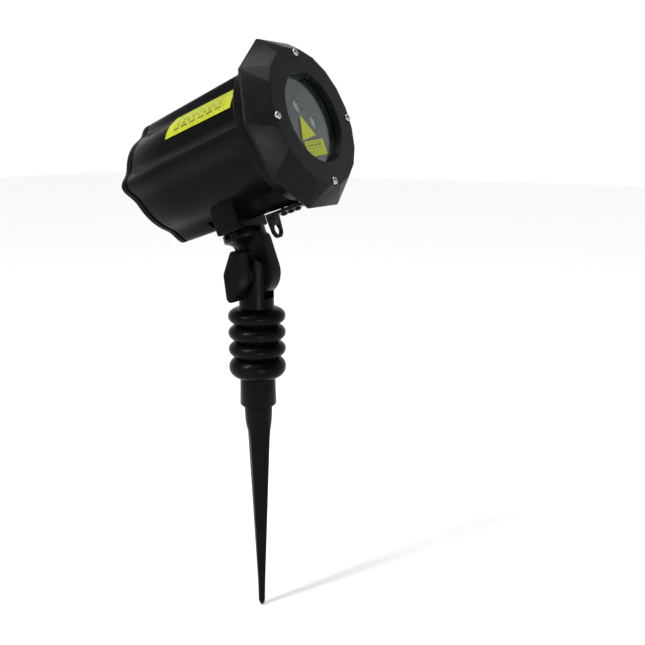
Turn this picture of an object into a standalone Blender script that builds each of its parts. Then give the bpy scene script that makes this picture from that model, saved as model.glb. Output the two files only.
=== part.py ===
"""Garden laser light: a tilting projector head on a stake that is pushed into the ground.

The origin is on the stake's axis at the ground line, +Z is up and the head looks along -Y,
tipped up. Lengths are in millimetres, which MM turns into metres. The head's own frame has X
across, Y back from the front face and Z up; the arm's frame is parallel to it at rest.
"""

import math

import bmesh
import bpy
from mathutils import Matrix, Vector

MM = 0.001
GAP = 0.3  # air between two pieces that rest on each other
RUN = 0.05  # radial clearance of a shaft that turns in its hole
WHEEL_PLAY = 0.12  # radial clearance of a grating wheel on its module, flats of both included

# Stake
PIVOT_Z = 102.0
NECK_R = 13.0
EYE_R = 18.0
EYE_HALF = 6.0
EAR_FLAT = 11.6
RING_R = 21.5
RING_ROOT_R = 14.75
RING_CENTRES = (68.9, 56.3, 43.7, 29.8)
RING_HALF = 6.2
LAST_RING_HALF = 8.1
COLLAR_TOP_R = 13.3
COLLAR_R = 13.8
SOCKET_R = 9.0
SOCKET_DEPTH = 16.0
SPIKE_TOP_R = 10.7
SPIKE_END_R = 2.6
SPIKE_TAPER_END = -164.6
SPIKE_TIP = -170.3
BOLT_R = 3.0

# Head, measured back from its front face and out from its axis
HEAD_PITCH = 20.2
PIVOT_BACK = 86.0
PIVOT_DOWN = 86.0
FACE_R = 48.3
RIM_R = 62.0
RIM_BACK = 14.0
BEZEL_BACK = 15.5
OPENING_R = 31.45
POCKET_R = 36.0
LIP = 5.1
DISC_R = 35.6
GLASS_FRONT, GLASS_BACK = 5.4, 7.0
PLATE_FRONT, PLATE_BACK = 7.3, 8.7
SEAL_FRONT, SEAL_BACK = 9.0, 11.9
SPIGOT_FRONT = 12.2
FLANGE_R = 50.7
FLANGE_FRONT, FLANGE_BACK = 15.8, 30.0
BORE_R = 32.0
BARREL_R = 38.5
BARREL_BACK = 139.0
COVER_FRONT, COVER_BACK = 140.4, 145.4
COVER_SEAT = COVER_BACK - 2.4  # where the rear screws' heads sit
INLET_BACK = COVER_BACK + 8.1
LOBE_REACH = 50.0
LOBE_TAPER = 0.029  # reach lost for each millimetre back
LOBE_SPREAD = 11.0  # degrees
FACE_SCREW_R = 45.0
REAR_SCREW_R = 42.5
BOSS_HALF_X = 18.0
BOSS_FRONT, BOSS_BACK = 75.0, 97.0
BOSS_BOTTOM = -54.5
LABEL_TOP, LABEL_LOW = 108.0, 146.0  # degrees round the barrel
LABEL_ENDS = (42.0, 104.0)

BRACKET_SCREWS = (34.8, 40.8, 46.9)
BRACKET_TOP = -50.7
INLET_Z = -18.0

# Optics: two laser modules, each behind a slowly turning grating wheel
APERTURES = ((-6.7, 10.1), (8.9, -1.0))
APERTURE_R = 5.0
MODULE_R = 5.0
MODULE_FRONT, MODULE_BACK = 14.3, 48.0
WHEEL_FRONT, WHEEL_FACE = 12.2, 14.0
TOOTH_MODULE = 0.7
WHEEL_TEETH, PINION_TEETH = 24, 10
GEAR_DISTANCE = 12.0

# Ways a piece is turned: local Z or the outline's plane against its parent's axes
UPRIGHT = (0, 0, 0)
BACKWARD = (-90, 0, 0)  # local Z runs back from the front face
FACING = (90, 0, 0)  # outlines are drawn as seen from the front
SIDEWAYS = (90, 0, 90)  # outlines are drawn back and up, and local Z runs across
ACROSS = (0, 90, 0)  # local Z runs across, towards +X

for old in list(bpy.data.objects):
    bpy.data.objects.remove(old, do_unlink=True)


def new_collection(name):
    made = bpy.data.collections.new(name)
    bpy.context.scene.collection.children.link(made)
    return made


PARTS = new_collection("laser_light_stake")
CUTTERS = new_collection("cutters")


def new_finish(name, colour, roughness, metallic=0.0):
    made = bpy.data.materials.new(name)
    made.use_nodes = True
    shader = made.node_tree.nodes["Principled BSDF"]
    shader.inputs["Base Color"].default_value = (*colour, 1.0)
    shader.inputs["Roughness"].default_value = roughness
    shader.inputs["Metallic"].default_value = metallic
    return made


CAST = ("cast_black", (0.022, 0.022, 0.024), 0.42)
BEZEL = ("bezel_charcoal", (0.034, 0.034, 0.037), 0.38)
PLASTIC = ("stake_plastic", (0.014, 0.014, 0.015), 0.4)
STEEL = ("stainless", (0.62, 0.61, 0.59), 0.28, 1.0)
DARK_STEEL = ("black_steel", (0.03, 0.03, 0.03), 0.35, 0.8)
RUBBER = ("seal_rubber", (0.012, 0.012, 0.012), 0.8)
GLASS = ("window_glass", (0.32, 0.37, 0.36), 0.06)
LABEL = ("label_yellow", (0.72, 0.72, 0.02), 0.45)
BRASS = ("brass", (0.62, 0.44, 0.16), 0.3, 1.0)
ALLOY = ("plain_alloy", (0.55, 0.56, 0.57), 0.4, 1.0)
ACRYLIC = ("grating_acrylic", (0.8, 0.82, 0.85), 0.1)
BOARD = ("board_green", (0.02, 0.16, 0.06), 0.5)
CHIP = ("chip_black", (0.015, 0.015, 0.016), 0.5)


def add_object(name, mesh, finish, parent, at, turn):
    """Places a mesh under its parent. A piece with no finish is a tool that cuts or joins another."""
    obj = bpy.data.objects.new(name, mesh)
    if finish is None:
        CUTTERS.objects.link(obj)
        obj.hide_render = True
        obj.display_type = "WIRE"
    else:
        PARTS.objects.link(obj)
        mesh.materials.append(new_finish(f"{name}_{finish[0]}", *finish[1:]))
    obj.parent = parent
    obj.location = [value * MM for value in at]
    obj.rotation_euler = [math.radians(value) for value in turn]
    return obj


def empty(name, parent, at, turn=UPRIGHT):
    obj = bpy.data.objects.new(name, None)
    PARTS.objects.link(obj)
    obj.parent = parent
    obj.location = [value * MM for value in at]
    obj.rotation_euler = [math.radians(value) for value in turn]
    return obj


def turned(name, profile, finish, parent, at=(0, 0, 0), turn=UPRIGHT, steps=32, ring=False):
    """A turned solid about local Z. The profile is (radius, height), down its outer side."""
    count = len(profile)
    edges = [(i, i + 1) for i in range(count - 1)]
    if ring:
        edges.append((count - 1, 0))
    mesh = bpy.data.meshes.new(name)
    mesh.from_pydata([(radius * MM, 0, height * MM) for radius, height in profile], edges, [])
    obj = add_object(name, mesh, finish, parent, at, turn)
    screw = obj.modifiers.new("Turn", "SCREW")
    screw.axis = "Z"
    screw.steps = steps
    screw.render_steps = steps
    screw.use_merge_vertices = True
    screw.merge_threshold = 0.00001
    screw.use_smooth_shade = True
    return obj


def rod(name, radius, low, high, finish, parent, at=(0, 0, 0), turn=UPRIGHT, steps=18, edge=0.0):
    """A cylinder from low to high along local Z, with its rims chamfered by edge."""
    profile = [(0, high), (radius - edge, high), (radius, high - edge)]
    profile += [(radius, low + edge), (radius - edge, low), (0, low)]
    if not edge:
        profile = [(0, high), (radius, high), (radius, low), (0, low)]
    return turned(name, profile, finish, parent, at, turn, steps)


def washer(name, outer, inner, low, high, finish, parent, at=(0, 0, 0), turn=UPRIGHT, steps=24):
    profile = [(outer, high), (outer, low), (inner, low), (inner, high)]
    return turned(name, profile, finish, parent, at, turn, steps, ring=True)


def clean(mesh):
    work = bmesh.new()
    work.from_mesh(mesh)
    bmesh.ops.remove_doubles(work, verts=work.verts, dist=0.000001)
    bmesh.ops.recalc_face_normals(work, faces=work.faces)
    work.to_mesh(mesh)
    work.free()
    mesh.shade_smooth()
    mesh.set_sharp_from_angle(angle=math.radians(30))


def prism(name, outlines, thickness, finish, parent, at=(0, 0, 0), turn=UPRIGHT):
    """A flat outline, with any holes after it, made thick evenly to both sides of its plane."""
    curve = bpy.data.curves.new(name, "CURVE")
    curve.dimensions = "2D"
    curve.fill_mode = "BOTH"
    curve.extrude = thickness * MM / 2
    for outline in outlines:
        spline = curve.splines.new("POLY")
        spline.points.add(len(outline) - 1)
        for point, (x, y) in zip(spline.points, outline):
            point.co = (x * MM, y * MM, 0, 1)
        spline.use_cyclic_u = True
    guide = bpy.data.objects.new(name + "_guide", curve)
    CUTTERS.objects.link(guide)
    graph = bpy.context.evaluated_depsgraph_get()
    mesh = bpy.data.meshes.new_from_object(guide.evaluated_get(graph))
    bpy.data.objects.remove(guide)
    clean(mesh)
    mesh.materials.clear()
    return add_object(name, mesh, finish, parent, at, turn)


def box(name, low, high, finish, parent, turn=UPRIGHT):
    """A block between two opposite corners."""
    low = Vector(low)
    high = Vector(high)
    work = bmesh.new()
    bmesh.ops.create_cube(work, size=1.0, matrix=Matrix.Diagonal(((high - low) * MM).to_4d()))
    mesh = bpy.data.meshes.new(name)
    work.to_mesh(mesh)
    work.free()
    return add_object(name, mesh, finish, parent, (low + high) / 2, turn)


def loft(name, rings, finish, parent, at=(0, 0, 0), turn=UPRIGHT):
    """A closed skin over rings of equally many points."""
    work = bmesh.new()
    rows = [[work.verts.new([value * MM for value in point]) for point in ring] for ring in rings]
    for first, second in zip(rows, rows[1:]):
        for i, vert in enumerate(first):
            after = (i + 1) % len(first)
            work.faces.new((vert, first[after], second[after], second[i]))
    work.faces.new(rows[0])
    work.faces.new(rows[-1])
    bmesh.ops.recalc_face_normals(work, faces=work.faces)
    mesh = bpy.data.meshes.new(name)
    work.to_mesh(mesh)
    work.free()
    mesh.shade_smooth()
    mesh.set_sharp_from_angle(angle=math.radians(30))
    return add_object(name, mesh, finish, parent, at, turn)


def combine(target, operation, *tools):
    for tool in tools:
        modifier = target.modifiers.new(f"{operation} {tool.name}", "BOOLEAN")
        modifier.operation = operation
        modifier.solver = "EXACT"
        modifier.object = tool


def round_edges(obj, width, segments=2, angle=35):
    bevel = obj.modifiers.new("Rounded edges", "BEVEL")
    bevel.width = width * MM
    bevel.segments = segments
    bevel.limit_method = "ANGLE"
    bevel.angle_limit = math.radians(angle)
    bevel.harden_normals = False


def circle(radius, count, centre=(0, 0), start=0.0):
    turns = [math.radians(start) + math.tau * i / count for i in range(count)]
    return [(centre[0] + radius * math.cos(a), centre[1] + radius * math.sin(a)) for a in turns]


def around_circles(circles, count):
    """The outline of a band stretched round circles given as (x, y, radius)."""
    points = []
    for i in range(count):
        angle = math.tau * i / count
        way = Vector((math.cos(angle), math.sin(angle)))
        x, y, radius = max(circles, key=lambda c: way.dot(Vector(c[:2])) + c[2])
        points.append((x + radius * way.x, y + radius * way.y))
    return points


def regular(count, radius, start):
    return circle(radius, count, start=start)


def gear_outline(teeth, phase, tip=0.92, root=1.2):
    """A spur gear's outline. One tooth is centred on the phase, in radians."""
    pitch_r = TOOTH_MODULE * teeth / 2
    step = math.tau / teeth
    corners = ((pitch_r - root * TOOTH_MODULE, -0.27), (pitch_r + tip * TOOTH_MODULE, -0.1))
    corners += tuple((radius, -share) for radius, share in reversed(corners))
    points = []
    for tooth in range(teeth):
        for radius, share in corners:
            angle = phase + (tooth + share) * step
            points.append((radius * math.cos(angle), radius * math.sin(angle)))
    return points


def screw_mesh(name, head_r, head_height, shank_r, length):
    """A pan head screw with a cross recess. Its head's seat is at height 0."""
    profile = [(0, head_height), (head_r * 0.72, head_height), (head_r, head_height * 0.5)]
    profile += [(head_r, 0), (shank_r, 0), (shank_r, -length), (0, -length)]
    body = turned(name, profile, STEEL, None, steps=14)
    arm, half = head_r * 0.62, head_r * 0.16
    floor, over = head_height - 1.0, head_height + 1.0
    slots = [box(f"{name}_slot_x", (-arm, -half, floor), (arm, half, over), None, None)]
    slots.append(box(f"{name}_slot_y", (-half, -arm, floor - 0.1), (half, arm, over), None, None))
    combine(body, "DIFFERENCE", *slots)
    bpy.context.view_layer.update()
    graph = bpy.context.evaluated_depsgraph_get()
    mesh = bpy.data.meshes.new_from_object(body.evaluated_get(graph))
    for used in (body, *slots):
        bpy.data.objects.remove(used)
    clean(mesh)
    mesh.materials.clear()
    return mesh


def screw(name, mesh, parent, at, turn, finish=STEEL):
    return add_object(name, mesh.copy(), finish, parent, at, turn)


def ring_profile(centre, half):
    """One bellows ring of the stake, down its rounded rim."""
    points = []
    for i in range(1, 6):
        lean = math.cos(math.pi * i / 6)
        bulge = (1 - abs(lean) ** 2.3) ** 0.75
        points.append((RING_ROOT_R + (RING_R - RING_ROOT_R) * bulge, centre + half * lean))
    return points


def stake_neck():
    profile = [(0, 116), (NECK_R, 116), (NECK_R, 76.0), (RING_ROOT_R - 0.6, 75.0)]
    for centre in RING_CENTRES:
        profile += ring_profile(centre, LAST_RING_HALF if centre == RING_CENTRES[-1] else RING_HALF)
    profile += [(COLLAR_TOP_R, 21.2), (COLLAR_R, 1.0), (COLLAR_R - 1.0, 0), (0, 0)]
    neck = turned("stake_neck", profile, PLASTIC, None, steps=30)
    slot_floor = PIVOT_Z - EYE_R - 0.5
    slot_half = EYE_HALF + GAP
    slot = box("neck_slot", (-slot_half, -20, slot_floor), (slot_half, 20, 130), None, None)
    arch = [(-20, 0), (-20, 30), (20, 30), (20, 0)]
    arch += [(x, y) for x, y in circle(NECK_R, 32) if y > -0.001]
    ears = prism("neck_ear_tops", [arch], 40, None, None, at=(0, 0, PIVOT_Z), turn=SIDEWAYS)
    left = box("neck_left_flat", (-20, -20, 90), (-EAR_FLAT, 20, 130), None, None)
    right = box("neck_right_flat", (EAR_FLAT, -20, 90), (20, 20, 130), None, None)
    hole = rod("neck_bolt_hole", BOLT_R + RUN, -20, 20, None, None, (0, 0, PIVOT_Z), ACROSS)
    socket = rod("neck_socket", SOCKET_R, -2, SOCKET_DEPTH, None, None)
    combine(neck, "DIFFERENCE", slot, ears, left, right, hole, socket)


def spike_radius(height):
    share = (height + 2.0) / (SPIKE_TAPER_END + 2.0)
    return SPIKE_TOP_R + (SPIKE_END_R - SPIKE_TOP_R) * max(share, 0.0)


def spike_ring(height, radius, flute):
    points = []
    for i in range(32):
        angle = math.tau * i / 32
        hollow = flute * math.sin(2 * angle) ** 2
        reach = radius * (1 - hollow)
        points.append((reach * math.cos(angle), reach * math.sin(angle), height))
    return points


def ground_spike():
    """A tapered spike with four soft ribs, whose plug sits in the neck's socket."""
    plug_r = SOCKET_R - GAP
    rings = [spike_ring(SOCKET_DEPTH - GAP, plug_r - 0.6, 0)]
    rings += [spike_ring(SOCKET_DEPTH - GAP - 0.8, plug_r, 0), spike_ring(-GAP, plug_r, 0)]
    rings += [spike_ring(-GAP, SPIKE_TOP_R - 0.5, 0), spike_ring(-1.2, SPIKE_TOP_R, 0)]
    for height, flute in ((-13, 0), (-20, 0.16), (-30, 0.27), (-80, 0.29), (-140, 0.27)):
        rings.append(spike_ring(height, spike_radius(height), flute))
    rings.append(spike_ring(SPIKE_TAPER_END, SPIKE_END_R, 0.08))
    rings.append(spike_ring(SPIKE_TIP + 2.2, SPIKE_END_R * 0.72, 0))
    rings.append(spike_ring(SPIKE_TIP, SPIKE_END_R * 0.25, 0))
    loft("ground_spike", rings, PLASTIC, None)


def hexagon(across_flats, start=0.0):
    return regular(6, across_flats / math.sqrt(3), start)


def tilt_bolt():
    at = (0, 0, PIVOT_Z)
    bolt = rod("tilt_bolt", BOLT_R, -24, EAR_FLAT + 1.5, STEEL, None, at, ACROSS, edge=0.5)
    head_at = (EAR_FLAT + GAP + 2.1, 0, PIVOT_Z)
    head = prism("tilt_bolt_head", [hexagon(10)], 4.2, None, None, head_at, SIDEWAYS)
    combine(bolt, "UNION", head)


def knob_pieces(hinge):
    """The lozenge hand knob, its moulded-in nut and the washer that it presses on the ear."""
    washer_low, washer_high = -(EAR_FLAT + GAP + 1.8), -(EAR_FLAT + GAP)
    pivot = (0, 0, PIVOT_Z)
    washer("clamp_washer", 8, 3.4, washer_low, washer_high, DARK_STEEL, None, pivot, ACROSS)
    hub_face = washer_low - GAP
    wing_end = -29.6
    lozenge = around_circles(((0, 15.2, 3.6), (0, -15.2, 3.6), (0, 0, 7.4)), 32)
    middle = (wing_end + hub_face - 2.6) / 2
    depth = hub_face - 2.6 - wing_end
    knob = prism("tilt_knob", [lozenge], depth, PLASTIC, hinge, (middle, 0, 0), SIDEWAYS)
    hub = rod("knob_hub", 8.6, hub_face - 4, hub_face, None, hinge, turn=ACROSS, edge=0.6)
    pocket_at = (hub_face - 2.9, 0, 0)
    pocket = prism("knob_nut_pocket", [hexagon(10.6)], 6.2, None, hinge, pocket_at, SIDEWAYS)
    bore = rod("knob_bore", 3.5, hub_face - 11.5, hub_face + 1, None, hinge, turn=ACROSS)
    round_edges(knob, 1.3, 2)
    combine(knob, "UNION", hub)
    combine(knob, "DIFFERENCE", pocket, bore)
    nut_outline = [hexagon(10), circle(BOLT_R + RUN, 24)]
    prism("knob_nut", nut_outline, 5, BRASS, hinge, (hub_face - 3.1, 0, 0), SIDEWAYS)


def arm_outline():
    """The arm's plate about its pivot: a round eye, a straight front and a waisted back."""
    eye = [(EYE_R * math.cos(a), EYE_R * math.sin(a)) for a in
           [math.radians(-180 + 15 * i) for i in range(15)]]
    waist = [(11.2, 14.0), (9.0, 16.2), (8.0, 18.6), (8.6, 21.4), (10.4, 23.8), (13.0, 26.0)]
    front = [(-14.5, 26.0), (-17.2, 23.6), (-EYE_R, 20.0)]
    return eye + waist + front


def tooth_gaps(parent, top, depth):
    """Eight blocks in one tool, which leave eight teeth on the crown."""
    work = bmesh.new()
    for i in range(8):
        place = Matrix.Rotation(math.radians(30 + 45 * i), 4, "Z")
        place = place @ Matrix.Translation(Vector((14, 0, top)) * MM)
        size = Matrix.Diagonal((10 * MM, 6 * MM, 2 * depth * MM, 1))
        bmesh.ops.create_cube(work, size=1.0, matrix=place @ size)
    mesh = bpy.data.meshes.new("crown_gaps")
    work.to_mesh(mesh)
    work.free()
    return add_object("crown_gaps", mesh, None, parent, (0, 0, 0), UPRIGHT)


def pivot_arm(arm):
    plate = prism("pivot_arm", [arm_outline()], 2 * EYE_HALF, PLASTIC, arm, turn=SIDEWAYS)
    round_edges(plate, 0.9, 2)
    top = PIVOT_DOWN + BOSS_BOTTOM - GAP
    profile = [(0, top), (15.5, top), (16.1, top - 0.6), (16.1, top - 5.2), (15.2, top - 6.0)]
    profile += [(11.5, top - 8.5), (8.6, top - 11.5), (7.0, top - 15.5), (0, top - 15.5)]
    crown = turned("arm_crown", profile, None, arm, steps=32)
    combine(plate, "UNION", crown)
    for i, back in enumerate((-3.4, 0.9)):
        rib = box(f"arm_rib_{i}", (-8.6, back, 14.3), (8.6, back + 1.6, 27), None, arm)
        combine(plate, "UNION", rib)
    eye_hole = rod("arm_eye_hole", BOLT_R + RUN, -10, 10, None, arm, turn=ACROSS)
    thread = rod("arm_bolt_thread", BOLT_R + RUN, 14, top + 2, None, arm)
    combine(plate, "DIFFERENCE", tooth_gaps(arm, top, 3.3), eye_hole, thread)


def pan_bolt(arm):
    """The bolt on which the head turns. Its head is inside the barrel."""
    seat = PIVOT_DOWN - BORE_R - 1.0 + GAP
    washer("pan_washer", 6.4, 3.4, seat, seat + 1.0, STEEL, arm)
    head_low = seat + 1.0 + GAP
    bolt = rod("pan_bolt", BOLT_R, 15, head_low + 1, STEEL, arm, edge=0.5)
    head = prism("pan_bolt_head", [hexagon(10)], 3.4, None, arm, (0, 0, head_low + 1.7))
    combine(bolt, "UNION", head)


def lobed_section(back, shrink=0.0):
    """The barrel's outline at one distance back: a circle with four rounded lobes."""
    reach = LOBE_REACH - (back - FLANGE_BACK) * LOBE_TAPER - shrink
    base = BARREL_R - shrink
    points = []
    for quarter in range(4):
        for lean in (-45, -28, -19, -13, -8, -4, 0, 4, 8, 13, 19, 28):
            angle = math.radians(90 * quarter + lean)
            radius = base + (reach - base) * math.exp(-((lean / LOBE_SPREAD) ** 2))
            points.append((radius * math.cos(angle), back, radius * math.sin(angle)))
    return points


def label_section(back, film):
    """The side label's outline at one distance back, along the barrel and up its top lobe."""
    reach = LOBE_REACH - (back - FLANGE_BACK) * LOBE_TAPER
    angles = [LABEL_TOP + (LABEL_LOW - LABEL_TOP) * i / 12 for i in range(13)]
    inner = []
    for angle in angles:
        swell = math.exp(-(((angle - 90) / LOBE_SPREAD) ** 2))
        inner.append((BARREL_R + 0.35 + (reach - BARREL_R) * swell, math.radians(angle)))
    outer = [(radius + film, angle) for radius, angle in reversed(inner)]
    return [(radius * math.cos(angle), back, radius * math.sin(angle)) for radius, angle in inner + outer]


def lobe_stop():
    """What is taken off the bottom lobe behind the boss, up to the lobe's rounded nose."""
    nose = [(13.0 * math.sin(a), 107.0 + 13.0 * (1 - math.cos(a))) for a in
            [math.radians(-90 + 15 * i) for i in range(13)]]
    return [(-30, 95)] + [(-30, 120)] + nose + [(30, 120), (30, 95)]


def quarter_points(radius):
    return [(radius * math.cos(a), radius * math.sin(a)) for a in
            [math.radians(90 * i) for i in range(4)]]


def barrel_housing(head):
    rings = [lobed_section(back) for back in (FLANGE_BACK - 3, 60, 100, BARREL_BACK - 0.8)]
    rings.append(lobed_section(BARREL_BACK, 0.8))
    housing = loft("barrel_housing", rings, CAST, head)
    profile = [(0, FLANGE_BACK), (FLANGE_R - 1.6, FLANGE_BACK), (FLANGE_R, FLANGE_BACK - 1.6)]
    profile += [(FLANGE_R, FLANGE_FRONT), (DISC_R - 0.1, FLANGE_FRONT)]
    profile += [(DISC_R - 0.1, SPIGOT_FRONT), (0, SPIGOT_FRONT)]
    flange = turned("housing_flange", profile, None, head, turn=BACKWARD, steps=40)
    boss = box(
        "housing_boss",
        (-BOSS_HALF_X, BOSS_FRONT, BOSS_BOTTOM),
        (BOSS_HALF_X, BOSS_BACK, -30),
        None,
        head,
    )
    round_edges(boss, 1.6, 3)
    combine(housing, "UNION", flange)
    stop = prism("lobe_stop", [lobe_stop()], 14, None, head, (0, 0, -47.4))
    bore = rod("housing_bore", BORE_R, 5, 150, None, head, turn=BACKWARD, steps=40)
    combine(housing, "DIFFERENCE", stop)
    combine(housing, "UNION", boss)
    combine(housing, "DIFFERENCE", bore)
    seat = rod("bolt_seat", 8, -BORE_R - 1, -20, None, head, (0, PIVOT_BACK, 0))
    hole = rod("pan_hole", BOLT_R + RUN, -60, -20, None, head, (0, PIVOT_BACK, 0), (0, 0, 5))
    combine(housing, "DIFFERENCE", seat, hole)
    for i, (x, z) in enumerate(quarter_points(FACE_SCREW_R)):
        tapped = rod(f"flange_tap_{i}", 1.55, 10, 25.5, None, head, (x, 0, z), BACKWARD, steps=16)
        combine(housing, "DIFFERENCE", tapped)
    for i, (x, z) in enumerate(quarter_points(REAR_SCREW_R)):
        tapped = rod(f"rear_tap_{i}", 1.55, BARREL_BACK - 12, 145, None, head, (x, 0, z), BACKWARD, steps=16)
        combine(housing, "DIFFERENCE", tapped)
    for i, back in enumerate(BRACKET_SCREWS):
        tapped = rod(f"bracket_tap_{i}", 1.3, -56, -44.5, None, head, (0, back, 0), steps=16)
        combine(housing, "DIFFERENCE", tapped)


def front_bezel(head, screw_data):
    """A front ring that falls from twenty sides at its face to ten at its rim."""
    work = bmesh.new()
    corners = [(x, 0, z) for x, z in regular(20, FACE_R, 9)]
    corners += [(x, RIM_BACK, z) for x, z in regular(10, RIM_R, 0)]
    corners += [(x, BEZEL_BACK, z) for x, z in regular(10, RIM_R - 0.3, 0)]
    for corner in corners:
        work.verts.new([value * MM for value in corner])
    bmesh.ops.convex_hull(work, input=work.verts)
    bmesh.ops.dissolve_limit(work, angle_limit=math.radians(1), verts=work.verts, edges=work.edges)
    bmesh.ops.recalc_face_normals(work, faces=work.faces)
    mesh = bpy.data.meshes.new("front_bezel")
    work.to_mesh(mesh)
    work.free()
    bezel = add_object("front_bezel", mesh, BEZEL, head, (0, 0, 0), UPRIGHT)
    round_edges(bezel, 0.45, 1, 8)
    opening = rod("bezel_opening", OPENING_R, -5, 20, None, head, turn=BACKWARD, steps=44)
    pocket = rod("bezel_pocket", POCKET_R, LIP, 30, None, head, turn=BACKWARD, steps=44)
    combine(bezel, "DIFFERENCE", opening, pocket)
    for i, (x, z) in enumerate(quarter_points(FACE_SCREW_R)):
        hole = rod(f"bezel_hole_{i}", 1.75, -5, 20, None, head, (x, 0, z), BACKWARD, steps=16)
        recess = rod(f"bezel_recess_{i}", 3.7, -5, 1.0, None, head, (x, 0, z), BACKWARD, steps=20)
        combine(bezel, "DIFFERENCE", hole, recess)
        screw(f"bezel_screw_{i + 1}", screw_data, head, (x, 1.0 - GAP, z), FACING)


def window(head):
    rod("window_glass", DISC_R, GLASS_FRONT, GLASS_BACK, GLASS, head, turn=BACKWARD, steps=40)
    washer("window_gasket", DISC_R, BORE_R, SEAL_FRONT, SEAL_BACK, RUBBER, head, turn=BACKWARD, steps=40)
    holes = [circle(APERTURE_R, 20, centre) for centre in APERTURES]
    depth = PLATE_BACK - PLATE_FRONT
    at = (0, (PLATE_BACK + PLATE_FRONT) / 2, 0)
    prism("aperture_plate", [circle(DISC_R, 40)] + holes, depth, CHIP, head, at, FACING)


def labels(head):
    """Yellow stickers with nothing printed on them: two on the window and one on the barrel."""
    film = 0.15
    depth = GLASS_FRONT - 0.15 - film / 2
    triangle = circle(11.0, 3, (-7.6, -7.6), 102)
    prism("triangle_label", [triangle], film, LABEL, head, (0, depth, 0), FACING)
    lean = Matrix.Rotation(math.radians(5), 2)
    corners = ((12.5, 5.5), (-12.5, 5.5), (-12.5, -5.5), (12.5, -5.5))
    panel = [lean @ Vector(corner) + Vector((-1.7, -20.1)) for corner in corners]
    prism("panel_label", [panel], film, LABEL, head, (0, depth, 0), FACING)
    loft("side_label", [label_section(back, 0.2) for back in LABEL_ENDS], LABEL, head)


def lock_bracket(head, screw_data):
    """A bent plate under the barrel, with an eye for a padlock or a tether."""
    thick = 2.3
    foot_low = BRACKET_TOP - thick
    eye_drop = -62.4
    tab = around_circles(((0, eye_drop, 6.1), (0, -54.0, 7.0)), 40)
    tab = [(x, z) for x, z in tab if z < -53.5] + [(7, BRACKET_TOP), (-7, BRACKET_TOP)]
    tab.sort(key=lambda p: math.atan2(p[1] + 57, p[0]))
    hole = circle(3.8, 24, (0, eye_drop))
    plate = prism("lock_bracket", [tab, hole], thick, DARK_STEEL, head, (0, 57.2, 0), FACING)
    foot = [(x, y) for x, y in around_circles(((0, 33.5, 7.0), (0, 51.0, 7.0)), 40)]
    foot = [(x, y) for x, y in foot if y < 51.0] + [(7, 58.2), (-7, 58.2)]
    foot.sort(key=lambda p: math.atan2(p[1] - 45, p[0]))
    holes = [circle(1.6, 14, (0, back)) for back in BRACKET_SCREWS]
    sole_at = (0, 0, (BRACKET_TOP + foot_low) / 2)
    sole = prism("bracket_foot", [foot] + holes, thick, None, head, sole_at)
    combine(plate, "UNION", sole)
    for i, back in enumerate(BRACKET_SCREWS):
        seat = (0, back, foot_low - GAP)
        screw(f"bracket_screw_{i + 1}", screw_data, head, seat, (180, 0, 0), DARK_STEEL)


def rear_cover(head, screw_data):
    """The lobed back plate, its seal and its four screws."""
    rings = [lobed_section(COVER_FRONT, 0.5), lobed_section(COVER_FRONT + 0.5)]
    rings += [lobed_section(COVER_BACK - 1.4), lobed_section(COVER_BACK - 0.4, 0.5)]
    rings.append(lobed_section(COVER_BACK, 1.4))
    cover = loft("rear_cover", rings, CAST, head)
    inlet = rod("cover_inlet_hole", 5.8, 130, 150, None, head, (0, 0, INLET_Z), BACKWARD)
    combine(cover, "DIFFERENCE", inlet)
    for i, (x, z) in enumerate(quarter_points(REAR_SCREW_R)):
        hole = rod(f"cover_hole_{i}", 1.75, 130, 150, None, head, (x, 0, z), BACKWARD, steps=16)
        recess = rod(f"cover_recess_{i}", 3.3, COVER_SEAT, 150, None, head, (x, 0, z), BACKWARD, steps=20)
        combine(cover, "DIFFERENCE", hole, recess)
        screw(f"rear_screw_{i + 1}", screw_data, head, (x, COVER_SEAT + GAP, z), BACKWARD)
    low, high = BARREL_BACK + GAP, COVER_FRONT - GAP
    washer("rear_gasket", 37.2, 33.5, low, high, RUBBER, head, turn=BACKWARD, steps=40)


def dc_inlet(head):
    """The threaded power inlet in the rear cover, its nut and its centre pin."""
    at = (0, 0, INLET_Z)
    outside = COVER_BACK + GAP
    front = INLET_BACK - 19
    floor = INLET_BACK - 16.5
    profile = [(0, INLET_BACK), (5.4, INLET_BACK), (6.0, INLET_BACK - 0.6)]
    profile += [(6.0, outside + 2.2), (7.6, outside + 2.2)]
    profile += [(7.6, outside), (5.5, outside), (5.5, front), (0, front)]
    body = turned("dc_inlet_body", profile, CHIP, head, at, BACKWARD, steps=28)
    bore = rod("inlet_bore", 3.2, floor, INLET_BACK + 4, None, head, at, BACKWARD)
    combine(body, "DIFFERENCE", bore)
    rod("dc_inlet_pin", 1.0, floor + GAP, INLET_BACK - 2, BRASS, head, at, BACKWARD, steps=14, edge=0.4)
    outline = [hexagon(14), circle(5.5 + GAP, 28)]
    nut_at = (0, COVER_FRONT - GAP - 1.5, INLET_Z)
    prism("dc_inlet_nut", outline, 3.0, STEEL, head, nut_at, FACING)


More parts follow.
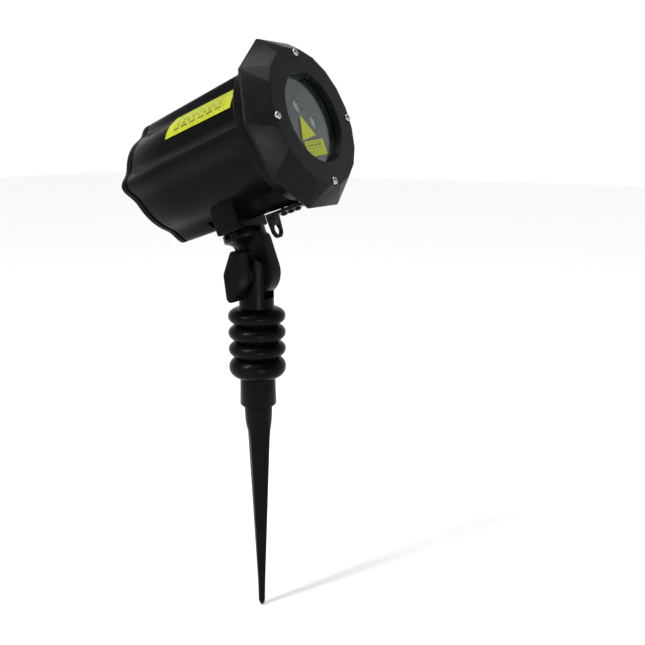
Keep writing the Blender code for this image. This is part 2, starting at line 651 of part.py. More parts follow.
def optics(head):
    """Both laser modules with their lenses, and the block that carries them and the motor."""
    pinion_at, _ = gear_layout()
    holes = [circle(MODULE_R + GAP, 20, centre) for centre in (*APERTURES, pinion_at)]
    outline = [circle(BORE_R - 0.4, 36)] + holes
    prism("module_carrier", outline, 10, ALLOY, head, (0, 31, 0), FACING)
    for side, (x, z) in zip("ab", APERTURES):
        at = (x, 0, z)
        module = rod(
            f"laser_module_{side}", MODULE_R, MODULE_FRONT, MODULE_BACK, BRASS, head, at, BACKWARD
        )
        bore = rod(f"module_bore_{side}", 3.2, 10, 19, None, head, at, BACKWARD)
        combine(module, "DIFFERENCE", bore)
        lens = [(0, 17.2), (1.5, 17.1), (3.0, 16.7), (3.0, 15.8), (1.5, 15.4), (0, 15.3)]
        turned(f"collimating_lens_{side}", lens, GLASS, head, at, BACKWARD, steps=20)


def gear_layout():
    """The pinion's centre, at one distance from both wheels, and each wheel's direction to it."""
    first, second = (Vector(centre) for centre in APERTURES)
    half = (second - first) / 2
    across = Vector((-half.y, half.x)).normalized()
    pinion = first + half + across * math.sqrt(GEAR_DISTANCE**2 - half.length_squared)
    ways = [math.atan2(pinion.y - c.y, pinion.x - c.x) for c in (first, second)]
    return tuple(pinion), ways


def grating_drive(head):
    """The small motor, its pinion and the two toothed grating wheels that it turns."""
    pinion_at, ways = gear_layout()
    tooth_step = math.tau / PINION_TEETH
    wheel_step = math.tau / WHEEL_TEETH
    behind = (ways[1] - ways[0]) % tooth_step
    phases = (ways[0], ways[1] + behind * PINION_TEETH / WHEEL_TEETH)
    middle = (WHEEL_FRONT + WHEEL_FACE) / 2
    for side, (x, z), phase in zip("ab", APERTURES, phases):
        outline = [gear_outline(WHEEL_TEETH, phase + wheel_step / 2)]
        thickness = WHEEL_FACE - WHEEL_FRONT
        wheel = prism(f"grating_wheel_{side}", outline, thickness, ACRYLIC, head, (x, middle, z), FACING)
        hub = rod(f"wheel_hub_{side}", 6.4, WHEEL_FACE - 0.5, 17.5, None, head, (x, 0, z), BACKWARD)
        bore_r = MODULE_R + WHEEL_PLAY
        bore = rod(f"wheel_bore_{side}", bore_r, WHEEL_FACE, 20, None, head, (x, 0, z), BACKWARD)
        combine(wheel, "UNION", hub)
        combine(wheel, "DIFFERENCE", bore)
    x, z = pinion_at
    teeth = [gear_outline(PINION_TEETH, ways[0] + math.pi)]
    pinion = prism("motor_pinion", teeth, 2.6, ALLOY, head, (x, 13.5, z), FACING)
    shaft = rod("pinion_shaft", 0.75, 14, 25.5, None, head, (x, 0, z), BACKWARD, steps=16)
    combine(pinion, "UNION", shaft)
    motor = rod("grating_motor", MODULE_R, 20, 42, STEEL, head, (x, 0, z), BACKWARD, edge=0.4)
    hole = rod("motor_hole", 0.75 + RUN, 15, 26, None, head, (x, 0, z), BACKWARD, steps=16)
    combine(motor, "DIFFERENCE", hole)


def electronics(head):
    """The driver board on its tray, with its main components."""
    tray = box("board_tray", (-22, 36.3, -16.2), (22, 126, -15.0), ALLOY, head)
    upright = box("tray_upright", (-14, 36.3, -27), (14, 37.5, -15.5), None, head)
    combine(tray, "UNION", upright)
    for i, (x, back) in enumerate(((-19, 56), (19, 56), (-19, 118), (19, 118))):
        post = rod(f"tray_post_{i}", 2.2, -15.6, -12.3, None, head, (x, back, 0), steps=14)
        combine(tray, "UNION", post)
    box("driver_board", (-24, 52, -12.0), (24, 123, -10.4), BOARD, head)
    box("control_chip", (-13, 66, -10.1), (-1, 78, -7.6), CHIP, head)
    box("rf_receiver", (-18, 108, -10.1), (4, 110, 3), BOARD, head)
    box("power_terminal", (5, 112, -10.1), (21, 120, -1), BOARD, head)
    rod("smoothing_capacitor", 5, -10.1, 4, CHIP, head, (12, 92, 0), edge=0.5)


def build():
    stake_neck()
    ground_spike()
    tilt_bolt()
    hinge = empty("knob_joint", None, (0, 0, PIVOT_Z), (6.4, 0, 0))
    knob_pieces(hinge)
    arm = empty("tilt_joint", None, (0, 0, PIVOT_Z), (-HEAD_PITCH, 0, 0))
    pivot_arm(arm)
    pan_bolt(arm)
    swivel = empty("pan_joint", arm, (0, 0, PIVOT_DOWN + BOSS_BOTTOM))
    head = empty("head_frame", swivel, (0, -PIVOT_BACK, -BOSS_BOTTOM))
    barrel_housing(head)
    front_bezel(head, screw_mesh("face_screw", 2.8, 2.1, 1.5, 22))
    window(head)
    labels(head)
    lock_bracket(head, screw_mesh("foot_screw", 2.5, 1.8, 1.25, 6.5))
    rear_cover(head, screw_mesh("back_screw", 2.8, 2.1, 1.5, 14))
    dc_inlet(head)
    optics(head)
    grating_drive(head)
    electronics(head)


build()
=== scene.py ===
"""Looks of the garden laser light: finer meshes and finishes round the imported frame.

Lengths are in millimetres, which MM turns into metres. The head's frame has X across, Y back
from the front face and Z up. It is tipped up about the hinge, and the arm's frame with it.
"""

import math

import bmesh
import bpy
from mathutils import Matrix, Vector


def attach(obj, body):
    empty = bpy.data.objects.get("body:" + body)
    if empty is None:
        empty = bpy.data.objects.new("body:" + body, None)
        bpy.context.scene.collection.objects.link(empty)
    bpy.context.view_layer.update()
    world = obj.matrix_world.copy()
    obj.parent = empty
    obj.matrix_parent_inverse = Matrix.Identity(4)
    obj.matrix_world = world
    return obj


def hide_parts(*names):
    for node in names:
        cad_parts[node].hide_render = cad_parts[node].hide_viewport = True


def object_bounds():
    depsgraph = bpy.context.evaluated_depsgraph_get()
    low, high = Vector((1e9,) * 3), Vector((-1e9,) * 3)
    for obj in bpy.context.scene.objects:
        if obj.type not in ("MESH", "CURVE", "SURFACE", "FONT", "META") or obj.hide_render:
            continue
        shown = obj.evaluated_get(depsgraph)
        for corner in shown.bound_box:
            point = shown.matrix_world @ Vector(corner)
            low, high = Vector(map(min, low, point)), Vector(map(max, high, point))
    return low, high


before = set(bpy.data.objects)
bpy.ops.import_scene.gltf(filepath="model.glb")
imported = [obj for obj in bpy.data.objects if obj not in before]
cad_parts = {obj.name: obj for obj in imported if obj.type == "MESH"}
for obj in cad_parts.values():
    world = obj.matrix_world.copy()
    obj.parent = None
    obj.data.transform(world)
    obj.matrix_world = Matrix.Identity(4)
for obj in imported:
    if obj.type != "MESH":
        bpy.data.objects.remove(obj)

CAD_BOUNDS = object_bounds()
MM = 0.001
GAP = 0.3  # left between pieces that only face each other

PIVOT_Z = 102.0
HEAD_PITCH = 20.2
PIVOT_BACK = PIVOT_DOWN = 86.0

# Stake and arm
NECK_R, NECK_TOP, NECK_FOOT = 13.0, 116.0, 75.0
EYE_R, EYE_HALF, EAR_FLAT = 18.0, 6.0, 11.6
SOCKET_R = 9.0  # the spike's plug sits in it
RING_R, RING_ROOT_R = 21.5, 14.75
RING_CENTRES = (68.9, 56.3, 43.7, 29.8)
RING_HALF, LAST_RING_HALF = 6.2, 8.1
COLLAR_TOP_R, COLLAR_R = 13.3, 13.8
SPIKE_TOP_R, SPIKE_END_R = 10.7, 2.6
SPIKE_TAPER_END, SPIKE_TIP = -164.6, -170.3
BOLT_R = 3.0
KNOB_END = -29.6
KNOB_LOBES = ((0, 15.2, 3.6), (0, -15.2, 3.6), (0, 0, 7.4))

# Head
FACE_R, RIM_R = 48.3, 61.94
RIM_BACK, BEZEL_BACK = 14.0, 15.5
OPENING_R, POCKET_R, LIP, DISC_R = 31.45, 36.0, 5.1, 35.6
GLASS_FRONT, GLASS_BACK = 5.4, 7.0
FLANGE_R, FLANGE_FRONT, FLANGE_BACK = 50.7, 15.8, 30.0
BORE_R, BARREL_R, BARREL_BACK = 32.0, 38.5, 139.0
COVER_FRONT, COVER_BACK = 140.4, 145.4
COVER_SEAT, INLET_BACK = COVER_BACK - 2.4, COVER_BACK + 8.1
LOBE_REACH, LOBE_TAPER, LOBE_SPREAD = 50.0, 0.029, 11.0
FACE_SCREW_R, REAR_SCREW_R = 45.0, 42.5
BOSS_HALF_X, BOSS_FRONT, BOSS_BACK, BOSS_BOTTOM = 18.0, 75.0, 97.0, -54.5
BRACKET_SCREWS = (34.8, 40.8, 46.9)
BRACKET_TOP, BRACKET_THICK = -50.7, 2.3
CASE_SCREW = (2.8, 2.1, 1.5)  # head radius, head height, shank radius
FOOT_SCREW = (2.5, 1.8, 1.25)
INLET_Z = -18.0
# Labels. The side label runs round the barrel from LABEL_TOP to LABEL_LOW, in degrees from +X.
LABEL_FILM = 0.15
LABEL_ENDS = (42.0, 104.0)
LABEL_TOP, LABEL_LOW = 108.0, 146.0

UPRIGHT = (0, 0, 0)
BACKWARD = (-90, 0, 0)
FACING = (90, 0, 0)
SIDEWAYS = (90, 0, 90)
ACROSS = (0, 90, 0)


# ---- finishes ----

def shader_of(name):
    made = bpy.data.materials.new(name)
    made.use_nodes = True
    nodes, links = made.node_tree.nodes, made.node_tree.links
    return made, nodes, links, nodes["Principled BSDF"]


def noise(nodes, links, scale, detail=3.0, stretch=(1, 1, 1)):
    """Noise in the row's own metres, so that its grain has one size on every piece."""
    place = nodes.new("ShaderNodeTexCoord")
    mapping = nodes.new("ShaderNodeMapping")
    mapping.inputs["Scale"].default_value = stretch
    made = nodes.new("ShaderNodeTexNoise")
    made.inputs["Scale"].default_value = scale
    made.inputs["Detail"].default_value = detail
    links.new(place.outputs["Object"], mapping.inputs["Vector"])
    links.new(mapping.outputs["Vector"], made.inputs["Vector"])
    return made.outputs["Fac"]


def ramp(nodes, links, source, stops):
    made = nodes.new("ShaderNodeValToRGB")
    elements = made.color_ramp.elements
    for element, (place, colour) in zip(elements, stops):
        element.position = place
        element.color = (*colour, 1.0)
    links.new(source, made.inputs["Fac"])
    return made.outputs["Color"]


def spread(nodes, links, source, low, high, start=0.3, end=0.7):
    made = nodes.new("ShaderNodeMapRange")
    made.inputs["From Min"].default_value = start
    made.inputs["From Max"].default_value = end
    made.inputs["To Min"].default_value = low
    made.inputs["To Max"].default_value = high
    links.new(source, made.inputs["Value"])
    return made.outputs["Result"]


def bumped(nodes, links, shader, source, strength, depth, edge):
    """Fine relief over edges that are rounded by a small radius, in millimetres."""
    bump = nodes.new("ShaderNodeBump")
    bump.inputs["Strength"].default_value = strength
    bump.inputs["Distance"].default_value = depth * MM
    links.new(source, bump.inputs["Height"])
    if edge:
        bevel = nodes.new("ShaderNodeBevel")
        bevel.samples = 6
        bevel.inputs["Radius"].default_value = edge * MM
        links.new(bevel.outputs["Normal"], bump.inputs["Normal"])
    links.new(bump.outputs["Normal"], shader.inputs["Normal"])


def coated(name, dark, light, rough, grain=2600.0, relief=0.22, edge=0.5, shine=0.5):
    """Powder coat or moulded plastic: cloudy colour, uneven gloss and a fine orange peel."""
    made, nodes, links, shader = shader_of(name)
    cloud = noise(nodes, links, 38.0, 5.0)
    links.new(ramp(nodes, links, cloud, ((0.32, dark), (0.7, light))), shader.inputs["Base Color"])
    patches = noise(nodes, links, 150.0, 6.0)
    links.new(spread(nodes, links, patches, rough[0], rough[1]), shader.inputs["Roughness"])
    shader.inputs["Specular IOR Level"].default_value = shine
    shader.inputs["IOR"].default_value = 1.17
    bumped(nodes, links, shader, noise(nodes, links, grain, 2.0), relief, 0.05, edge)
    return made


def turned_metal(name, dark, light, rough, edge=0.15):
    made, nodes, links, shader = shader_of(name)
    cloud = noise(nodes, links, 420.0, 4.0)
    links.new(ramp(nodes, links, cloud, ((0.3, dark), (0.7, light))), shader.inputs["Base Color"])
    streaks = noise(nodes, links, 900.0, 4.0, (1, 6, 1))
    links.new(spread(nodes, links, streaks, rough[0], rough[1]), shader.inputs["Roughness"])
    shader.inputs["Metallic"].default_value = 1.0
    bumped(nodes, links, shader, streaks, 0.12, 0.02, edge)
    return made


def clear_glass(name, tint, rough, weight):
    made, nodes, links, shader = shader_of(name)
    smears = noise(nodes, links, 60.0, 5.0)
    links.new(ramp(nodes, links, smears, ((0.3, tint), (0.75, [c * 0.92 for c in tint]))),
              shader.inputs["Base Color"])
    links.new(spread(nodes, links, smears, rough, rough + 0.06), shader.inputs["Roughness"])
    shader.inputs["Transmission Weight"].default_value = weight
    shader.inputs["IOR"].default_value = 1.5
    return made


def band(nodes, links, source, low, high):
    """One inside a range of a UV axis and zero outside it."""
    made = nodes.new("ShaderNodeValToRGB")
    made.color_ramp.interpolation = "CONSTANT"
    made.color_ramp.elements[0].color = (0, 0, 0, 1)
    made.color_ramp.elements[1].position = low
    made.color_ramp.elements[1].color = (1, 1, 1, 1)
    made.color_ramp.elements.new(high).color = (0, 0, 0, 1)
    links.new(source, made.inputs["Fac"])
    return made.outputs["Color"]


def product(nodes, links, *sources):
    result = sources[0]
    for source in sources[1:]:
        made = nodes.new("ShaderNodeMath")
        made.operation = "MULTIPLY"
        links.new(result, made.inputs[0])
        links.new(source, made.inputs[1])
        result = made.outputs["Value"]
    return result


def vinyl(name, yellow, ink, rows, blocks):
    """Yellow film. Rows of plain dashes stand where a label has its print, bolder lower down."""
    made, nodes, links, shader = shader_of(name)
    cloud = noise(nodes, links, 90.0, 4.0)
    paper = ramp(nodes, links, cloud, ((0.3, [c * 0.86 for c in yellow]), (0.7, yellow)))
    if rows:
        place = nodes.new("ShaderNodeTexCoord")
        mapping = nodes.new("ShaderNodeMapping")
        mapping.inputs["Scale"].default_value = (blocks, rows, 1)
        links.new(place.outputs["UV"], mapping.inputs["Vector"])
        brick = nodes.new("ShaderNodeTexBrick")
        brick.offset = 0.37
        brick.squash = 0.62
        brick.squash_frequency = 2
        for socket, value in (("Scale", 1.0), ("Mortar Size", 0.24), ("Mortar Smooth", 0.35),
                              ("Bias", -0.1), ("Brick Width", 1.7), ("Row Height", 1.0)):
            brick.inputs[socket].default_value = value
        brick.inputs["Color1"].default_value = (1, 1, 1, 1)
        brick.inputs["Color2"].default_value = (0.55, 0.55, 0.55, 1)
        brick.inputs["Mortar"].default_value = (0, 0, 0, 1)
        links.new(mapping.outputs["Vector"], brick.inputs["Vector"])
        axes = nodes.new("ShaderNodeSeparateXYZ")
        links.new(place.outputs["UV"], axes.inputs["Vector"])
        faded = spread(nodes, links, axes.outputs["Y"], 0.3, 1.0, 0.35, 0.75)
        print_area = (band(nodes, links, axes.outputs["X"], 0.1, 0.88),
                      band(nodes, links, axes.outputs["Y"], 0.12, 0.9))
        mix = nodes.new("ShaderNodeMix")
        mix.data_type = "RGBA"
        dashes = product(nodes, links, brick.outputs["Color"], faded, *print_area)
        links.new(dashes, mix.inputs["Factor"])
        links.new(paper, mix.inputs["A"])
        mix.inputs["B"].default_value = (*ink, 1.0)
        paper = mix.outputs["Result"]
    links.new(paper, shader.inputs["Base Color"])
    links.new(spread(nodes, links, cloud, 0.3, 0.46), shader.inputs["Roughness"])
    bumped(nodes, links, shader, noise(nodes, links, 700.0, 3.0), 0.08, 0.03, 0)
    return made


CAST = coated("cast_powder_coat", (0.0014, 0.0014, 0.0016), (0.0027, 0.0027, 0.003), (0.24, 0.34),
              shine=0.36)
BEZEL = coated("bezel_powder_coat", (0.005, 0.005, 0.0054), (0.0078, 0.0078, 0.0083), (0.24, 0.34),
               edge=0.6, shine=0.42)
PLASTIC = coated("stake_plastic", (0.0013, 0.0013, 0.0014), (0.0026, 0.0026, 0.0028), (0.22, 0.34),
                 grain=1500.0, relief=0.14, shine=0.36)
COATED_STEEL = coated("coated_steel", (0.0018, 0.0018, 0.0018), (0.0036, 0.0036, 0.0036), (0.22, 0.36))
RUBBER = coated("seal_rubber", (0.004, 0.004, 0.004), (0.008, 0.008, 0.008), (0.7, 0.85), edge=0.2)
COMPONENT = coated("component_black", (0.004, 0.004, 0.0045), (0.01, 0.01, 0.011), (0.4, 0.6), edge=0.2)
SHADE = coated("aperture_plate_finish", (0.042, 0.05, 0.051), (0.06, 0.07, 0.071), (0.42, 0.55), edge=0.2)
STAINLESS = turned_metal("stainless", (0.36, 0.35, 0.34), (0.6, 0.59, 0.57), (0.14, 0.3))
BRASS = turned_metal("brass", (0.5, 0.34, 0.11), (0.72, 0.52, 0.2), (0.2, 0.38))
ALLOY = turned_metal("plain_alloy", (0.45, 0.46, 0.47), (0.62, 0.63, 0.64), (0.3, 0.5))
GLASS = clear_glass("window_glass", (0.72, 0.8, 0.79), 0.02, 1.0)
LENS = clear_glass("lens_glass", (0.8, 0.88, 0.95), 0.0, 1.0)
# The grating wheels' acrylic glows faintly pale green through emission. This is a painted glow, since no
# lamp is inside the head.
ACRYLIC_PAINTED_GLOW = clear_glass("grating_acrylic", (0.9, 0.97, 0.93), 0.3, 0.05)
PAINTED_GLOW_INPUTS = ACRYLIC_PAINTED_GLOW.node_tree.nodes["Principled BSDF"].inputs
PAINTED_GLOW_INPUTS["Emission Color"].default_value = (0.75, 1.0, 0.88, 1.0)
PAINTED_GLOW_INPUTS["Emission Strength"].default_value = 0.13
BOARD = coated("board_green", (0.008, 0.07, 0.025), (0.015, 0.12, 0.045), (0.3, 0.45), edge=0.2)
YELLOW = (0.33, 0.36, 0.001)
INK = (0.035, 0.035, 0.012)
PLAIN_LABEL = vinyl("label_plain", YELLOW, INK, 0, 0)
PRINTED_LABEL = vinyl("label_printed", YELLOW, INK, 7, 13)
SMALL_LABEL = vinyl("label_small", YELLOW, INK, 5, 8)

CAD_FINISHES = {
    "aperture_plate": SHADE, "window_gasket": RUBBER, "rear_gasket": RUBBER,
    "module_carrier": ALLOY, "laser_module_a": BRASS, "laser_module_b": BRASS,
    "collimating_lens_a": LENS, "collimating_lens_b": LENS, "grating_motor": STAINLESS,
    "grating_wheel_a": ACRYLIC_PAINTED_GLOW, "grating_wheel_b": ACRYLIC_PAINTED_GLOW, "motor_pinion": ALLOY,
    "board_tray": ALLOY, "driver_board": BOARD, "control_chip": COMPONENT, "rf_receiver": BOARD,
    "power_terminal": COMPONENT, "smoothing_capacitor": COMPONENT, "dc_inlet_pin": BRASS,
    "dc_inlet_nut": STAINLESS, "knob_nut": BRASS, "pan_bolt": STAINLESS, "pan_washer": STAINLESS,
}


# ---- mesh tools ----

def add_object(name, mesh, parent, at=(0, 0, 0), turn=UPRIGHT):
    obj = bpy.data.objects.new(name, mesh)
    bpy.context.scene.collection.objects.link(obj)
    obj.parent = parent
    obj.location = [value * MM for value in at]
    obj.rotation_euler = [math.radians(value) for value in turn]
    return obj


def turned(name, profile, parent, at=(0, 0, 0), turn=UPRIGHT, steps=96, ring=False):
    """A turned solid about local Z. The profile is (radius, height), down its outer side."""
    count = len(profile)
    edges = [(i, i + 1) for i in range(count - 1)]
    if ring:
        edges.append((count - 1, 0))
    mesh = bpy.data.meshes.new(name)
    mesh.from_pydata([(radius * MM, 0, height * MM) for radius, height in profile], edges, [])
    obj = add_object(name, mesh, parent, at, turn)
    screw = obj.modifiers.new("Turn", "SCREW")
    screw.axis = "Z"
    screw.steps = steps
    screw.render_steps = steps
    screw.use_merge_vertices = True
    screw.merge_threshold = 0.00001
    return obj


def rod(name, radius, low, high, parent, at=(0, 0, 0), turn=UPRIGHT, steps=64, edge=0.0):
    profile = [(0, high), (radius - edge, high), (radius, high - edge)]
    profile += [(radius, low + edge), (radius - edge, low), (0, low)]
    if not edge:
        profile = [(0, high), (radius, high), (radius, low), (0, low)]
    return turned(name, profile, parent, at, turn, steps)


def clean(mesh):
    work = bmesh.new()
    work.from_mesh(mesh)
    bmesh.ops.remove_doubles(work, verts=work.verts, dist=0.000001)
    bmesh.ops.recalc_face_normals(work, faces=work.faces)
    work.to_mesh(mesh)
    work.free()


def prism(name, outlines, thickness, parent, at=(0, 0, 0), turn=UPRIGHT):
    """A flat outline, with any holes after it, made thick evenly to both sides of its plane."""
    curve = bpy.data.curves.new(name, "CURVE")
    curve.dimensions = "2D"
    curve.fill_mode = "BOTH"
    curve.extrude = thickness * MM / 2
    for outline in outlines:
        spline = curve.splines.new("POLY")
        spline.points.add(len(outline) - 1)
        for point, (x, y) in zip(spline.points, outline):
            point.co = (x * MM, y * MM, 0, 1)
        spline.use_cyclic_u = True
    guide = bpy.data.objects.new(name + "_guide", curve)
    bpy.context.scene.collection.objects.link(guide)
    graph = bpy.context.evaluated_depsgraph_get()
    mesh = bpy.data.meshes.new_from_object(guide.evaluated_get(graph))
    bpy.data.objects.remove(guide)
    clean(mesh)
    mesh.materials.clear()
    return add_object(name, mesh, parent, at, turn)


def box(name, low, high, parent):
    low = Vector(low)
    high = Vector(high)
    work = bmesh.new()
    bmesh.ops.create_cube(work, size=1.0, matrix=Matrix.Diagonal(((high - low) * MM).to_4d()))
    mesh = bpy.data.meshes.new(name)
    work.to_mesh(mesh)
    work.free()
    return add_object(name, mesh, parent, (low + high) / 2)


def loft(name, rings, parent, at=(0, 0, 0), turn=UPRIGHT):
    """A closed skin over rings of equally many points."""
    work = bmesh.new()
    rows = [[work.verts.new([value * MM for value in point]) for point in ring] for ring in rings]
    for first, second in zip(rows, rows[1:]):
        for i, vert in enumerate(first):
            after = (i + 1) % len(first)
            work.faces.new((vert, first[after], second[after], second[i]))
    work.faces.new(rows[0])
    work.faces.new(rows[-1])
    bmesh.ops.recalc_face_normals(work, faces=work.faces)
    mesh = bpy.data.meshes.new(name)
    work.to_mesh(mesh)
    work.free()
    return add_object(name, mesh, parent, at, turn)


TOOLS = []


def combine(target, operation, *tools):
    for tool in tools:
        modifier = target.modifiers.new(f"{operation} {tool.name}", "BOOLEAN")
        modifier.operation = operation
        modifier.solver = "EXACT"
        modifier.object = tool
        tool.hide_render = True
        TOOLS.append(tool)


def round_edges(obj, width, segments=3, angle=35):
    bevel = obj.modifiers.new("Rounded edges", "BEVEL")
    bevel.width = width * MM
    bevel.segments = segments
    bevel.limit_method = "ANGLE"
    bevel.angle_limit = math.radians(angle)


def circle(radius, count, centre=(0, 0), start=0.0):
    turns = [math.radians(start) + math.tau * i / count for i in range(count)]
    return [(centre[0] + radius * math.cos(a), centre[1] + radius * math.sin(a)) for a in turns]


def around_circles(circles, count):
    """The outline of a band stretched round circles given as (x, y, radius)."""
    points = []
    for i in range(count):
        angle = math.tau * i / count
        way = Vector((math.cos(angle), math.sin(angle)))
        x, y, radius = max(circles, key=lambda c: way.dot(Vector(c[:2])) + c[2])
        points.append((x + radius * way.x, y + radius * way.y))
    return points


def hexagon(across_flats):
    return circle(across_flats / math.sqrt(3), 6)


PIECES = []


def piece(obj, node, body, slot, finish, smooth=32):
    """Books a finished shape to stand for a CAD node. show_pieces makes it final."""
    PIECES.append((obj, node, body, slot, finish, smooth))


def show_pieces():
    bpy.context.view_layer.update()
    graph = bpy.context.evaluated_depsgraph_get()
    made = []
    for obj, node, body, slot, finish, smooth in PIECES:
        mesh = bpy.data.meshes.new_from_object(obj.evaluated_get(graph))
        mesh.transform(obj.matrix_world)
        clean(mesh)
        mesh.materials.clear()
        mesh.materials.append(finish)
        mesh.shade_smooth()
        mesh.set_sharp_from_angle(angle=math.radians(smooth))
        made.append((node, body, slot, mesh))
    for obj in [entry[0] for entry in PIECES] + TOOLS:
        if obj.name in bpy.data.objects:
            bpy.data.objects.remove(obj)
    for node, body, slot, mesh in made:
        shown = bpy.data.objects.new(node + "_look", mesh)
        bpy.context.scene.collection.objects.link(shown)
        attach(shown, body)
        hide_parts(node)


# ---- stake, arm and knob ----

def ring_profile(centre, half):
    """A grip ring's outer section, slimmer towards its roots than a half circle."""
    points = []
    for i in range(1, 20):
        lean = math.cos(math.pi * i / 20)
        bulge = (1 - abs(lean) ** 2.3) ** 0.75
        points.append((RING_ROOT_R + (RING_R - 0.05 - RING_ROOT_R) * bulge, centre + half * lean))
    return points


def stake_neck():
    profile = [(0, NECK_TOP), (NECK_R, NECK_TOP), (NECK_R, NECK_FOOT + 1.4)]
    profile += [(NECK_R + 0.2, NECK_FOOT + 0.6), (RING_ROOT_R - 0.6, NECK_FOOT)]
    for centre in RING_CENTRES:
        profile += ring_profile(centre, LAST_RING_HALF if centre == RING_CENTRES[-1] else RING_HALF)
    profile += [(COLLAR_TOP_R, 21.2), (COLLAR_R, 1.2), (COLLAR_R - 0.4, 0.3), (COLLAR_R - 1.0, 0)]
    profile += [(0, 0)]
    neck = turned("neck", profile, None)
    slot_half = EYE_HALF + GAP
    slot = box("neck_slot", (-slot_half, -20, PIVOT_Z - EYE_R - 0.5), (slot_half, 20, 130), None)
    arch = [(-20, 0), (-20, 30), (20, 30), (20, 0)]
    arch += [(x, y) for x, y in circle(NECK_R, 96) if y > -0.001]
    ears = prism("neck_ear_tops", [arch], 40, None, at=(0, 0, PIVOT_Z), turn=SIDEWAYS)
    left = box("neck_left_flat", (-20, -20, 90), (-EAR_FLAT, 20, 130), None)
    right = box("neck_right_flat", (EAR_FLAT, -20, 90), (20, 20, 130), None)
    hole = rod("neck_bolt_hole", BOLT_R + 0.05, -20, 20, None, (0, 0, PIVOT_Z), ACROSS)
    socket = rod("neck_socket", SOCKET_R, -2, 16, None)
    combine(neck, "DIFFERENCE", slot, ears, left, right, hole, socket)
    piece(neck, "stake_neck", "stake", "stake_plastic", PLASTIC, 30)


def spike_ring(height, radius, flute):
    """One section of the spike, with four flutes whose depth is a share of its radius."""
    points = []
    for i in range(96):
        angle = math.tau * i / 96
        reach = radius * (1 - flute * math.sin(2 * angle) ** 2)
        points.append((reach * math.cos(angle), reach * math.sin(angle), height))
    return points


def spike_radius(height):
    share = (height + 2.0) / (SPIKE_TAPER_END + 2.0)
    return SPIKE_TOP_R + (SPIKE_END_R - SPIKE_TOP_R) * max(share, 0.0)


def ground_spike():
    plug_r = SOCKET_R - GAP
    rings = [spike_ring(15.7, plug_r - 0.6, 0), spike_ring(14.9, plug_r, 0), spike_ring(-GAP, plug_r, 0)]
    rings += [spike_ring(-GAP, SPIKE_TOP_R - 0.5, 0), spike_ring(-1.2, SPIKE_TOP_R, 0)]
    for i in range(1, 44):
        height = -1.2 - 3.8 * i
        rise = min(max((-height - 13) / 17, 0), 1)
        fall = min(max((height - SPIKE_TAPER_END) / 22, 0), 1)
        rings.append(spike_ring(height, spike_radius(height), 0.28 * rise * rise * (3 - 2 * rise) * fall))
    for drop in (0.15, 0.35, 0.6, 0.8, 0.93, 1.0):
        height = SPIKE_TAPER_END + drop * (SPIKE_TIP - SPIKE_TAPER_END)
        rings.append(spike_ring(height, SPIKE_END_R * math.sqrt(1 - drop ** 2) + 0.12, 0))
    piece(loft("spike", rings, None), "ground_spike", "stake", "stake_plastic", PLASTIC, 30)


def tilt_bolt():
    bolt = rod("bolt", BOLT_R, -24, EAR_FLAT + 1.5, None, (0, 0, PIVOT_Z), ACROSS, edge=0.5)
    head_at = (EAR_FLAT + GAP + 2.1, 0, PIVOT_Z)
    head = prism("bolt_head", [hexagon(10)], 4.2, None, head_at, SIDEWAYS)
    round_edges(head, 0.4, 3)
    combine(bolt, "UNION", head)
    piece(bolt, "tilt_bolt", "stake", "stainless", STAINLESS)


def knob_pieces(hinge):
    low, high = -(EAR_FLAT + GAP + 1.8), -(EAR_FLAT + GAP)
    profile = [(7.7, high), (8, high - 0.3), (8, low + 0.3), (7.7, low), (3.4, low), (3.4, high)]
    washer = turned("washer", profile, None, (0, 0, PIVOT_Z), ACROSS, ring=True)
    piece(washer, "clamp_washer", "clamp", "black_steel", COATED_STEEL)
    face = low - GAP
    lozenge = around_circles(KNOB_LOBES, 120)
    wing_root = face - 2.6
    middle = ((KNOB_END + wing_root) / 2, 0, 0)
    knob = prism("knob", [lozenge], wing_root - KNOB_END, hinge, middle, SIDEWAYS)
    round_edges(knob, 1.3, 5)
    hub = rod("knob_hub", 8.6, face - 4, face, hinge, turn=ACROSS, edge=0.6)
    pocket = prism("knob_pocket", [hexagon(10.6)], 6.2, hinge, (face - 2.9, 0, 0), SIDEWAYS)
    bore = rod("knob_bore", 3.5, face - 11.5, face + 1, hinge, turn=ACROSS)
    cap = rod("knob_cap_groove", 4.6, KNOB_END - 1, KNOB_END + 0.5, hinge, turn=ACROSS)
    combine(knob, "UNION", hub)
    combine(knob, "DIFFERENCE", pocket, bore, cap)
    piece(knob, "tilt_knob", "knob", "stake_plastic", PLASTIC)


def arm_outline():
    eye = [(EYE_R * math.cos(a), EYE_R * math.sin(a)) for a in
           [math.radians(-180 + 3 * i) for i in range(71)]]
    waist = [(11.2, 14.0), (10.0, 15.0), (9.0, 16.2), (8.4, 17.3), (8.0, 18.6), (8.1, 20.0), (8.6, 21.4),
             (9.4, 22.7), (10.4, 23.8), (11.6, 24.9), (13.0, 26.0)]
    front = [(-14.5, 26.0), (-15.9, 24.9), (-17.2, 23.6), (-17.8, 22.0), (-EYE_R, 20.0)]
    return eye + waist + front


